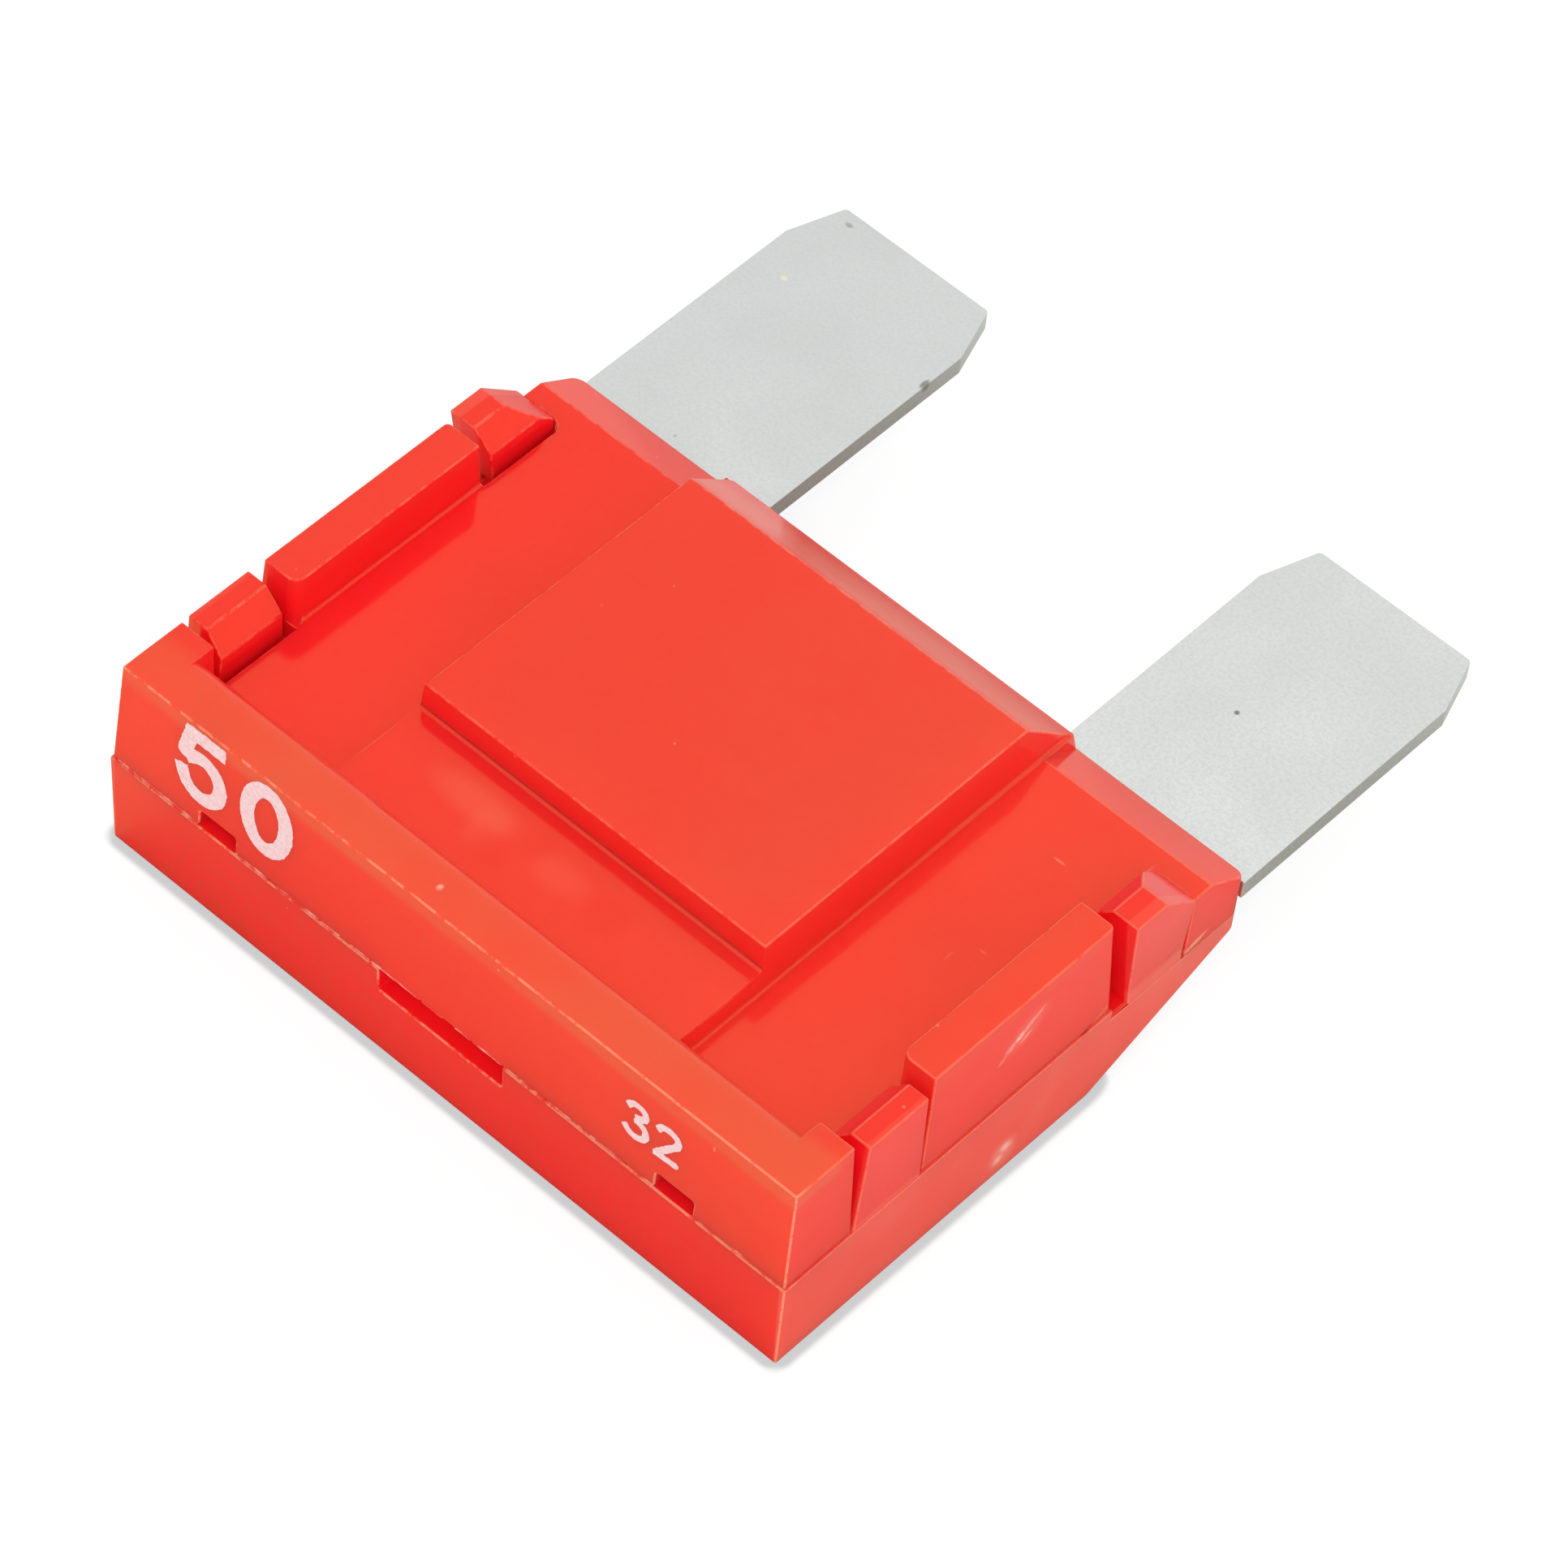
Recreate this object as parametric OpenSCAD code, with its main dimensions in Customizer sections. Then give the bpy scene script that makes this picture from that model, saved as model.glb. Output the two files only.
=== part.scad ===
// Large automotive blade fuse: a stamped metal element clamped in a two-part moulded housing.
// It lies on the broad face of its lower half. X runs across the width, +Y towards the blades,
// and Z is up from the rest face. Millimetres. The origin is the centre of the footprint.

/* [Overall] */
// Width across the housing's rim
fuse_w = 29.2; // [27.6:0.1:34]
// Length of the housing, head face to blade end
housing_l = 21.75; // [21.25:0.25:26]
// Length of each blade outside the housing
blade_out = 12.5; // [8:0.25:18]
// Height of the lower half, rest face to seam
lower_h = 4.15; // [4:0.05:5.5]
// Height of the upper half, seam to top
upper_h = 4.5; // [4.3:0.05:5.5]

/* [Blades and element] */
// Width of one blade
blade_w = 7.95; // [7.2:0.05:8.6]
// Distance of the blades' outer edges in from the housing's rim
blade_in = 0.07; // [0:0.01:0.4]
// Thickness of the stamped sheet
sheet_t = 0.8; // [0.6:0.05:0.9]
// Length of the tapered stretch at the blade tip
tip_l = 2.25; // [1:0.25:4]
// Taper of the tip on each edge of the blade
tip_in = 0.75; // [0.3:0.05:1.5]
// Radius of the corners at the blade tip
tip_r = 0.2; // [0.1:0.05:0.6]
// Step from the blade's edges in to its neck, which passes through the housing's end
neck_in = 1.2; // [1:0.05:1.5]
// Width of the fusible link
link_w = 1.4; // [1:0.1:1.8]
// Thickness of the fusible link
link_t = 0.5; // [0.3:0.05:0.6]
// Distance between two runs of the link
link_pitch = 3.2; // [2.8:0.1:3.6]
// Half of the length of the link's middle run
link_run = 1.5; // [0.8:0.1:2.2]
// Diameter of the weak spot's hole in the link
weak_d = 0.7; // [0.3:0.05:0.9]

/* [Housing outside] */
// Draft of the lower half: how far a side comes in from rim to rest face
low_side_in = 0.1; // [0:0.02:0.3]
// Draft of the lower half's front face
low_front_in = 0.18; // [0:0.02:0.4]
// Draft of the upper half: how far a side comes in from rim to top
up_side_in = 0.14; // [0.1:0.02:0.4]
// Draft of the upper half's front face
up_front_in = 0.18; // [0.1:0.02:0.5]
// Step in from the lower half's rim to the upper half's rim
rim_step = 0.07; // [0.02:0.01:0.15]
// Length of the head bar along the front
head_l = 2.3; // [1.8:0.05:2.5]
// Radius of the head bar's rear top edge
head_r = 0.7; // [0.3:0.05:0.9]
// Radius at the foot of the head bar
foot_r = 0.4; // [0.2:0.05:0.6]
// Lean of the head bar's rear wall, degrees from upright
head_lean = 8; // [2:1:12]
// Depth of the side panels below the face
panel_drop = 2; // [1.7:0.05:2.2]
// Depth of the plateau between the head bar and the raised block
plateau_drop = 1.1; // [0.6:0.05:1.4]
// Width of the raised block on its top
block_w = 14.6; // [13.4:0.1:15]
// Draft of the raised block's sides
block_draft = 0.12; // [0:0.02:0.2]
// Distance from the head face to the raised block
block_y = 6.55; // [5.5:0.05:7]
// Length of the chamfer at the raised block's blade end
block_cham_l = 2.45; // [1.8:0.05:3]
// Height of the raised block's edge at the blade end above the blade end's lip
block_lip = 1; // [0.6:0.05:1.2]
// Run of the end face below the raised block's edge
block_end_run = 0.3; // [0.1:0.05:0.5]
// Length of the chamfer at the upper panels' blade end
up_cham_l = 1.9; // [1.2:0.05:2.4]
// Length of the chamfer at the lower panels' blade end
low_cham_l = 2.2; // [1.2:0.05:2.6]
// Height of the upper half's end face at the panels
up_lip = 1.3; // [1.2:0.05:1.6]
// Height of the lower half's end face at the panels
low_lip = 1; // [0.8:0.05:1.2]
// Width of the bars along the sides
bar_w = 1.65; // [1.55:0.05:1.9]
// Radius at the foot of the raised block and of the side bars
step_r = 0.15; // [0.05:0.05:0.25]
// Radius of the rails' inner front corners
rail_front_r = 0.4; // [0.2:0.05:0.5]
// Radius of the rails' outer rear corners
rail_rear_r = 0.2; // [0.15:0.05:0.4]
// Radius of the housing's corners at the blade end
end_r = 0.4; // [0.1:0.05:0.5]
// Length of the lower bars' ramp at the blade end
ramp_l = 6.8; // [5:0.1:8]
// Length of the steep chamfer that ends the ramp
ramp_end_l = 0.3; // [0.2:0.05:1]
// Rise of the steep chamfer
ramp_end_h = 0.35; // [0.2:0.05:0.9]

/* [Snap hooks and notches] */
// Height of the hooks below the housing's top
hook_drop = 0.3; // [0.1:0.05:0.5]
// Thickness of a hook's arm
arm_t = 1.05; // [0.9:0.05:1.15]
// How far a hook's barb reaches in past its arm
barb_in = 0.5; // [0.4:0.02:0.6]
// Height of the barb's lead-in slope
barb_slope = 0.85; // [0.7:0.05:1.1]
// Distance from the rim in to the inner edge of the flat on a hook's top
flat_in = 0.82; // [0.6:0.02:0.9]
// How far the front hooks' tops lean out
front_lean = 0.2; // [0:0.02:0.3]
// How far the rear hooks' tops lean out
rear_lean = 0.45; // [0:0.02:0.5]
// Width of a front hook at the seam
front_hook_w = 3.1; // [2.4:0.05:3.2]
// Narrowing of a front hook's top on either side
hook_taper = 0.2; // [0.1:0.02:0.3]
// Width of a rear hook at its foot
rear_hook_w = 2.6; // [2.3:0.05:2.8]
// Length of the rear hooks' sloped back
rear_slope_l = 1.7; // [1.2:0.05:1.9]
// Distance from the head face to the front notches at the seam
front_notch_y = 3.1; // [3:0.05:3.4]
// Distance from the blade end to the rear notches' front wall at the seam
rear_notch_in = 6.3; // [6:0.05:6.8]
// Length of the rear notches at the seam
rear_notch_l = 3.55; // [3.45:0.05:3.7]
// Radius of the rear notches' inner rear corner
notch_r = 0.5; // [0.1:0.05:0.5]
// Clearance beside a hook at the seam
hook_gap = 0.1; // [0.06:0.01:0.2]
// Lean of the front notches' walls from seam to top
front_v = 0.2; // [0.1:0.05:0.3]
// Lean of the rear notches' front wall from seam to top
rear_v = 0.4; // [0.2:0.05:0.5]
// Gap between rail and rear hook, at the housing's top
rear_gap = 0.6; // [0.5:0.05:0.8]
// Height of the catch ledge above the seam
ledge_h = 1.75; // [1.5:0.05:1.8]
// Depth of the catch ledge
ledge_d = 0.65; // [0.55:0.02:0.75]
// Clearance between a barb and the catch ledge
catch_gap = 0.06; // [0.04:0.01:0.15]
// Step down of the lower rim behind the rails
rear_step = 0.5; // [0.3:0.05:0.6]

/* [Windows in the front face] */
// Width of a probe window
probe_w = 1.6; // [1.2:0.05:2]
// Height of a probe window above the seam
probe_h = 0.7; // [0.5:0.02:0.74]
// Distance of a probe window's centre from the middle
probe_x = 9.87; // [9:0.05:10.5]
// Width of the middle window
vent_w = 5.35; // [4:0.05:7]
// Height of the middle window below the seam
vent_h = 1.06; // [0.6:0.02:1.3]
// Depth of the middle window
vent_d = 0.95; // [0.5:0.05:1.2]
// Radius of the windows' corners
window_r = 0.14; // [0.05:0.01:0.2]

/* [Inside] */
// Wall of the housing round the fuse chamber
wall = 1.15; // [1:0.05:1.25]
// Distance from the head face to the fuse chamber
chamber_y = 4.4; // [3.8:0.1:5]
// Clearance round the element in its bed
bed_gap = 0.05; // [0.02:0.01:0.1]
// Distance from the head face to the element's pads
pad_y = 2.8; // [2.4:0.05:3.2]
// Diameter of the locating pegs
peg_d = 2.4; // [1.8:0.1:2.8]
// Distance from the head face to the locating pegs
peg_y = 12.2; // [10:0.1:13]
// Clearance round the pegs
peg_gap = 0.08; // [0.04:0.01:0.15]
// Height of the locating pegs above the seam
peg_h = 1.55; // [1.3:0.05:1.6]
// Diameter of the post that the link bends round
post_d = 0.9; // [0.6:0.05:1]

/* [Hidden] */
$fn = 40;
EPS = 0.01;
OUT = 1;
half_w = fuse_w / 2;
fuse_l = housing_l + blade_out;
top_z = lower_h + upper_h;
// Edges of a blade and of its neck
blade_x1 = half_w - blade_in;
blade_x = blade_x1 - blade_w;
neck_x0 = blade_x + neck_in;
neck_x1 = blade_x1 - neck_in;
bar_x = half_w - bar_w;
arm_x = half_w - arm_t;
arm_clear = 0.1;
pad_clear = 0.15;
chamber_short = 0.55;
ledge_x = arm_x - arm_clear;
pocket_x = ledge_x - ledge_d;
pad_x1 = pocket_x - pad_clear;
chamber_x = block_w / 2 - wall;
chamber_end = housing_l - block_cham_l - wall - chamber_short;
block_end = housing_l - block_end_run;
peg_x = (blade_x + pad_x1) / 2;
link_y = (chamber_y + chamber_end) / 2;
front_hook_y = front_notch_y + hook_gap;
front_notch_end = front_hook_y + front_hook_w + hook_gap;
rear_notch_y = housing_l - rear_notch_in;
rear_notch_end = rear_notch_y + rear_notch_l;
rear_hook_end = rear_notch_end - hook_gap;
rear_hook_y = rear_hook_end - rear_hook_w;
RED = [0.89, 0.16, 0.12];
METAL = [0.8, 0.81, 0.8];

// Moves the drawing frame, with y = 0 at the head face, to the centre of the footprint
module in_frame() {
    translate([0, -fuse_l / 2, 0])
        children();
}

// Both sides of a symmetrical pair
module both_sides() {
    children();
    mirror([1, 0, 0])
        children();
}

// A section drawn as (y, z), extruded across the width from x0 to x1
module across(x0, x1) {
    translate([x0, 0, 0])
        rotate([90, 0, 90])
            linear_extrude(x1 - x0)
                children();
}

// A section drawn as (x, z), extruded along the length from y0 to y1
module along(y0, y1) {
    translate([0, y1, 0])
        rotate([90, 0, 0])
            linear_extrude(y1 - y0)
                children();
}

function unit(v) = v / norm(v);
function half_angle(a, b) = acos(a * b) / 2;

// The sliver between a corner and the arc that rounds it. Taken away it rounds an outer corner,
// added it fills an inner one. The corner point is pushed past the outline to cut cleanly.
module corner_sliver(before, corner, after, r, push) {
    a = unit(before - corner);
    b = unit(after - corner);
    half = half_angle(a, b);
    middle = unit(a + b);
    difference() {
        polygon([corner - middle * push, corner + a * r / tan(half), corner + b * r / tan(half)]);
        translate(corner + middle * r / sin(half))
            circle(r);
    }
}

// Rectangle from (x0, y0) to (x1, y1) with the two corners at y1 rounded
module round_topped(x0, x1, y0, y1, r) {
    difference() {
        polygon([[x0, y0], [x1, y0], [x1, y1], [x0, y1]]);
        corner_sliver([x0, y0], [x0, y1], [x1, y1], r, EPS);
        corner_sliver([x1, y0], [x1, y1], [x0, y1], r, EPS);
    }
}

// Lengthwise section of one half, from the seam (z = 0) outwards: front face with draft, head bar
// with a rounded rear edge, a step down to the given level, and the chamfered blade end
module length_section(h, drop, rim, front_in, cham_l, lip) {
    level = h - drop;
    wall_run = drop * tan(head_lean);
    edge = [head_l, h];
    foot = [head_l + wall_run, level];
    difference() {
        polygon([[rim, 0], [rim + front_in, h], edge, foot,
                 [housing_l - cham_l, level], [housing_l, min(lip, level)], [housing_l, 0]]);
        corner_sliver([0, h], edge, foot, head_r, EPS);
    }
    corner_sliver(edge, foot, [housing_l, level], foot_r, EPS);
}

// Lengthwise section of the raised block, with a small radius at its front foot
module block_section(h, lip) {
    foot = [block_y, h - plateau_drop];
    polygon([[block_y, 0], foot, [block_y + block_draft / 2, h],
             [block_end - block_cham_l, h], [block_end, lip + block_lip], [housing_l, lip], [housing_l, 0]]);
    corner_sliver([block_y, h], foot, [0, h - plateau_drop], step_r, EPS);
}

// Cross-section of the raised block, with a small radius at the foot of each side
module block_cross_section(h) {
    foot_x = block_w / 2 + block_draft;
    level = h - panel_drop;
    polygon([[-foot_x, 0], [-foot_x, level], [-block_w / 2, h],
             [block_w / 2, h], [foot_x, level], [foot_x, 0]]);
    for (side = [-1, 1])
        corner_sliver([side * block_w / 2, h], [side * foot_x, level], [side * half_w, level], step_r, EPS);
}

// Radius along the foot of a side bar's inner wall, up to y1
module bar_foot(h, y1) {
    level = h - panel_drop;
    both_sides()
        along(head_l, y1)
            corner_sliver([bar_x, h], [bar_x, level], [0, level], step_r, EPS);
}

// Outer form of one half, seam at z = 0, without its side bars
module half_form(h, rim, front_in, cham_l, lip) {
    across(-half_w, half_w)
        length_section(h, panel_drop, rim, front_in, cham_l, lip);
    intersection() {
        along(0, housing_l)
            block_cross_section(h);
        union() {
            across(-half_w, half_w)
                block_section(h, lip);
            across(-half_w, half_w)
                intersection() {
                    length_section(h, plateau_drop, rim, front_in, cham_l, lip);
                    polygon([[0, 0], [0, h + OUT], [block_y + OUT, h + OUT], [block_y + OUT, 0]]);
                }
        }
    }
}

// Drafted envelope of one half, with its two corners at the blade end rounded
module drafted(h, rim, side_in) {
    rim_x = half_w - rim;
    intersection() {
        along(0, housing_l)
            polygon([[-rim_x, 0], [rim_x, 0], [rim_x - side_in, h], [side_in - rim_x, h]]);
        linear_extrude(h)
            difference() {
                translate([-half_w, 0])
                    square([fuse_w, housing_l]);
                for (side = [-rim_x, rim_x])
                    corner_sliver([side, 0], [side, housing_l], [0, housing_l], end_r, OUT);
            }
    }
}

// Room for the hooks beside the rails: a through slot for each arm and a wider pocket for its barb
module hook_room(outline_x0, from_z) {
    high = upper_h + OUT;
    across(outline_x0, half_w + OUT)
        intersection() {
            union() {
                polygon([[front_notch_y, 0], [front_notch_y - front_v * high / upper_h, high],
                         [front_notch_end + front_v * high / upper_h, high], [front_notch_end, 0]]);
                polygon([[rear_notch_y + rear_v * rear_step / upper_h, -rear_step],
                         [rear_notch_y - rear_v * high / upper_h, high],
                         [rear_notch_end, high], [rear_notch_end, -rear_step]]);
            }
            translate([0, from_z])
                square([housing_l, upper_h + OUT - from_z]);
        }
}

// Outline of the element's bed in the upper half, from (x, y) of the pads and necks
module bed_outline(gap) {
    both_sides()
        union() {
            translate([blade_x - gap, pad_y - gap])
                square([pad_x1 - blade_x + 2 * gap, chamber_end + wall - pad_y + 2 * gap]);
            translate([neck_x0 - gap, pad_y - gap])
                square([min(neck_x1, pad_x1) - neck_x0 + 2 * gap, housing_l - pad_y + OUT]);
        }
    translate([-blade_x - EPS, chamber_y])
        square([2 * blade_x + 2 * EPS, chamber_end - chamber_y]);
}

// Fuse chamber in one half: low under the plateau, higher under the raised block
module chamber(h) {
    low = h - plateau_drop - wall;
    high = h - wall;
    step_y = block_y + wall;
    across(-chamber_x, chamber_x)
        difference() {
            polygon([[chamber_y, -EPS], [chamber_y, low], [step_y, low],
                     [step_y, high], [chamber_end, high], [chamber_end, -EPS]]);
            corner_sliver([chamber_y, 0], [chamber_y, low], [step_y, low], foot_r, EPS);
            corner_sliver([step_y, high], [chamber_end, high], [chamber_end, 0], foot_r, EPS);
        }
}

// Cross-section of a hook (x, z from the seam): arm, barb with its lead-in, and flat top
module hook_section(lean) {
    top = upper_h - hook_drop;
    outer = half_w - rim_step - up_side_in * top / upper_h + lean;
    inner = half_w - flat_in;
    tip = arm_x - barb_in;
    polygon([[arm_x, -rear_step - EPS], [half_w - rim_step / 2, -rear_step - EPS],
             [half_w - rim_step / 2, 0], [outer, top], [inner, top],
             [tip, top - barb_slope], [tip, ledge_h + catch_gap], [arm_x, ledge_h + catch_gap]]);
}

// Side outlines (y, z from the seam) of the two hooks of one side
module front_hook_outline() {
    top = upper_h - hook_drop;
    back = front_hook_y + front_hook_w;
    polygon([[front_hook_y, -rear_step], [front_hook_y, 0], [front_hook_y + hook_taper, top],
             [back - hook_taper, top], [back, 0], [back, -rear_step]]);
}

module rear_hook_outline() {
    top = upper_h - hook_drop;
    back = upper_h - panel_drop + hook_drop;
    polygon([[rear_hook_y, -rear_step - EPS], [rear_notch_y - rear_v + rear_gap, top],
             [rear_hook_end - rear_slope_l - hook_gap, top], [rear_hook_end - hook_gap, back],
             [rear_hook_end, -rear_step - EPS]]);
}

module hooks() {
    both_sides()
        union() {
            intersection() {
                along(0, housing_l)
                    hook_section(front_lean);
                across(0, fuse_w)
                    front_hook_outline();
            }
            intersection() {
                along(0, housing_l)
                    hook_section(rear_lean);
                across(0, fuse_w)
                    rear_hook_outline();
            }
        }
}

// Bars along the lower half's sides, flat to the rest face and ramped up towards the blades
module lower_bars() {
    both_sides()
        across(bar_x, half_w)
            polygon([[rim_step, 0], [low_front_in, lower_h], [housing_l - ramp_l, lower_h],
                     [housing_l - ramp_end_l, low_lip + ramp_end_h], [housing_l, low_lip], [housing_l, 0]]);
}

// Prism that rounds an upright corner whose edge leans from the seam up to the housing's top. The
// edge starts at (x, y) and moves by (dx, dy). The walls run from it in the given X and Y directions.
module leaning_corner(x, y, dx, dy, wall_x, wall_y, r) {
    edge_l = norm([dx, dy, upper_h]);
    translate([x, y, 0])
        rotate([-asin(dy / edge_l), atan(dx / upper_h), 0])
            translate([0, 0, -OUT])
                linear_extrude(edge_l + 2 * OUT)
                    corner_sliver([wall_x, 0], [0, 0], [0, wall_y], r, OUT);
}

// Bars along the upper half's sides: the head's corner blocks and the rails behind the front hooks
module upper_bars() {
    both_sides()
        across(bar_x, half_w)
            polygon([[rim_step, 0], [rim_step + up_front_in, upper_h],
                     [rear_notch_y, upper_h], [rear_notch_y, 0]]);
}

// What rounds each rail's inner front corner, above the panel, and its outer rear corner
module rail_corners() {
    both_sides()
        union() {
            intersection() {
                leaning_corner(bar_x, front_notch_end, 0, front_v, 1, 1, rail_front_r);
                translate([bar_x - OUT, 0, upper_h - panel_drop])
                    cube([bar_w + OUT, housing_l, panel_drop + OUT]);
            }
            leaning_corner(half_w - rim_step, rear_notch_y, -up_side_in, -rear_v, -1, -1, rail_rear_r);
        }
}

// The upper half's end beside the rear hooks: upright sides flush with the lower rim, rounded
// corners, and a skirt that reaches down into the step in the lower rim
module end_wings() {
    both_sides()
        intersection() {
            across(arm_x, half_w)
                polygon([[rear_notch_end, EPS - rear_step], [rear_notch_end, upper_h - panel_drop],
                         [housing_l - up_cham_l, upper_h - panel_drop],
                         [housing_l, up_lip], [housing_l, EPS - rear_step]]);
            translate([0, 0, -rear_step])
                linear_extrude(upper_h + rear_step)
                    difference() {
                        square([half_w, housing_l]);
                        corner_sliver([half_w, 0], [half_w, housing_l], [0, housing_l], end_r, OUT);
                    }
        }
}

module lower_housing() {
    color(RED)
        in_frame()
            translate([0, 0, lower_h])
                union() {
                    difference() {
                        mirror([0, 0, 1])
                            intersection() {
                                drafted(lower_h, 0, low_side_in);
                                union() {
                                    half_form(lower_h, 0, low_front_in, low_cham_l, low_lip);
                                    lower_bars();
                                    bar_foot(lower_h, housing_l - ramp_l);
                                }
                            }
                        mirror([0, 0, 1])
                            chamber(lower_h);
                        along(-OUT, vent_d)
                            mirror([0, 1])
                                round_topped(-vent_w / 2, vent_w / 2, -OUT, vent_h, window_r);
                        both_sides()
                            translate([ledge_x, rear_notch_y, -rear_step])
                                cube([OUT + arm_t + arm_clear, housing_l - rear_notch_y + OUT, OUT]);
                    }
                    hooks();
                    both_sides()
                        translate([peg_x, peg_y, -EPS])
                            cylinder(h = peg_h + EPS, d = peg_d);
                    both_sides()
                        translate([link_run, link_y + link_pitch / 2, -lower_h + wall - EPS])
                            cylinder(h = lower_h + sheet_t - wall, d = post_d);
                }
}

module upper_housing() {
    color(RED)
        in_frame()
            translate([0, 0, lower_h])
                difference() {
                    union() {
                        intersection() {
                            drafted(upper_h, rim_step, up_side_in);
                            union() {
                                half_form(upper_h, rim_step, up_front_in, up_cham_l, up_lip);
                                upper_bars();
                                bar_foot(upper_h, rear_notch_y);
                            }
                        }
                        end_wings();
                    }
                    both_sides()
                        hook_room(ledge_x, -rear_step);
                    both_sides()
                        difference() {
                            hook_room(pocket_x, ledge_h);
                            linear_extrude(upper_h + 2 * OUT)
                                corner_sliver([pocket_x, 0], [pocket_x, rear_notch_end],
                                              [half_w, rear_notch_end], notch_r, OUT);
                        }
                    rail_corners();
                    translate([0, 0, -EPS])
                        linear_extrude(sheet_t + bed_gap + EPS)
                            bed_outline(bed_gap);
                    chamber(upper_h);
                    both_sides()
                        translate([peg_x, peg_y, -EPS])
                            cylinder(h = peg_h + peg_gap + EPS, d = peg_d + 2 * peg_gap);
                    both_sides()
                        translate([probe_x, 0, 0])
                            along(-OUT, pad_y)
                                round_topped(-probe_w / 2, probe_w / 2, -OUT, probe_h, window_r);
                }
}

// Outline of one blade with its tapered, round-cornered tip, outside the housing
module blade_outline() {
    tip_y = fuse_l;
    taper_y = fuse_l - tip_l;
    outer = blade_x1;
    difference() {
        polygon([[blade_x, housing_l + bed_gap], [outer, housing_l + bed_gap], [outer, taper_y],
                 [outer - tip_in, tip_y], [blade_x + tip_in, tip_y], [blade_x, taper_y]]);
        corner_sliver([outer, taper_y], [outer - tip_in, tip_y], [blade_x, tip_y], tip_r, EPS);
        corner_sliver([blade_x, taper_y], [blade_x + tip_in, tip_y], [outer, tip_y], tip_r, EPS);
    }
}

// Outline of one pad and its neck, inside the housing
module pad_outline() {
    translate([blade_x, pad_y])
        square([pad_x1 - blade_x, chamber_end + wall - pad_y]);
    translate([neck_x0, pad_y])
        square([min(neck_x1, pad_x1) - neck_x0, housing_l + bed_gap + EPS - pad_y]);
}

// One turn of the link: half a ring about the point (x, y), open towards the given side
module link_turn(x, y, side) {
    outer_r = (link_pitch + link_w) / 2;
    translate([x, y])
        intersection() {
            difference() {
                circle(outer_r);
                circle(outer_r - link_w);
            }
            translate([side > 0 ? 0 : -OUT - outer_r, -outer_r - OUT])
                square([outer_r + OUT, 2 * (outer_r + OUT)]);
        }
}

// The fusible link: three parallel runs joined by two turns into an S
module link_outline() {
    difference() {
        union() {
            translate([-blade_x - EPS, link_y + link_pitch - link_w / 2])
                square([blade_x + EPS + link_run, link_w]);
            link_turn(link_run, link_y + link_pitch / 2, 1);
            translate([-link_run, link_y - link_w / 2])
                square([2 * link_run, link_w]);
            link_turn(-link_run, link_y - link_pitch / 2, -1);
            translate([-link_run, link_y - link_pitch - link_w / 2])
                square([blade_x + EPS + link_run, link_w]);
        }
        translate([0, link_y])
            circle(d = weak_d);
    }
}

module fuse_element() {
    color(METAL)
        in_frame()
            translate([0, 0, lower_h])
                difference() {
                    union() {
                        linear_extrude(sheet_t)
                            both_sides()
                                union() {
                                    blade_outline();
                                    pad_outline();
                                }
                        translate([0, 0, (sheet_t - link_t) / 2])
                            linear_extrude(link_t)
                                link_outline();
                    }
                    both_sides()
                        translate([peg_x, peg_y, -OUT])
                            cylinder(h = sheet_t + 2 * OUT, d = peg_d + 2 * peg_gap);
                }
}

lower_housing();
fuse_element();
upper_housing();
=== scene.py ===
import math

import bmesh
import bpy
import numpy as np
from mathutils import Matrix, Vector, noise


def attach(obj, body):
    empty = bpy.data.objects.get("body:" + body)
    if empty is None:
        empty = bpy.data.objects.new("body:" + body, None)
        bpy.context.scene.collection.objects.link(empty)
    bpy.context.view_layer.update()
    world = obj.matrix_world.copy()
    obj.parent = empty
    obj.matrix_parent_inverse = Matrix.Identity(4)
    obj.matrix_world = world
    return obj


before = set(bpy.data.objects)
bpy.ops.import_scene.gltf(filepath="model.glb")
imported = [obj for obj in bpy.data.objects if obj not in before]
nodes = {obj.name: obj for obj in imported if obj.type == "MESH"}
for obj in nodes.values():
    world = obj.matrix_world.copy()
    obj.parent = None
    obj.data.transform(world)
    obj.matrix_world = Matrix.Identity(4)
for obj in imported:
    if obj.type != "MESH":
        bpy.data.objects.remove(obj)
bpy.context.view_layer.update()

MM = 0.001
scene = bpy.context.scene

# Main sizes of the part, in millimetres of the row frame
HEAD_Y = -17.125
SEAM_Z = 4.15
TOP_Z = 8.65
RIM_STEP = 0.07
HEAD_DRAFT = 0.18


# Camera

CAMERA_EYE = Vector((98.025, -133.054, 205.698)) * MM
CAMERA_FORWARD = Vector((-0.37392, 0.50448, -0.77826)).normalized()
CAMERA_RIGHT = Vector((0.73723, 0.67081, 0.08062))
FOCAL_PX = 9939.9
IMAGE_PX = 1932
SENSOR_MM = 36.0
CLIP_START, CLIP_END = 0.01, 20


def add_object(name, data):
    """New object of the scene for a mesh, a lamp or a camera."""
    o = bpy.data.objects.new(name, data)
    scene.collection.objects.link(o)
    return o


def make_camera():
    """The photograph's camera, solved from the part's corners."""
    data = bpy.data.cameras.new("camera")
    data.sensor_width = SENSOR_MM
    data.lens = FOCAL_PX / IMAGE_PX * SENSOR_MM
    data.clip_start, data.clip_end = CLIP_START, CLIP_END
    cam = add_object("camera", data)
    back = -CAMERA_FORWARD
    right = (CAMERA_RIGHT - back * CAMERA_RIGHT.dot(back)).normalized()
    up = back.cross(right)
    cam.matrix_world = Matrix.Translation(CAMERA_EYE) @ Matrix((right, up, back)).transposed().to_4x4()
    scene.camera = cam


make_camera()


# Node helpers

# Size of the cells that hold a speck each, in millimetres
SPECK_CELL = 1.1


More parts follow.
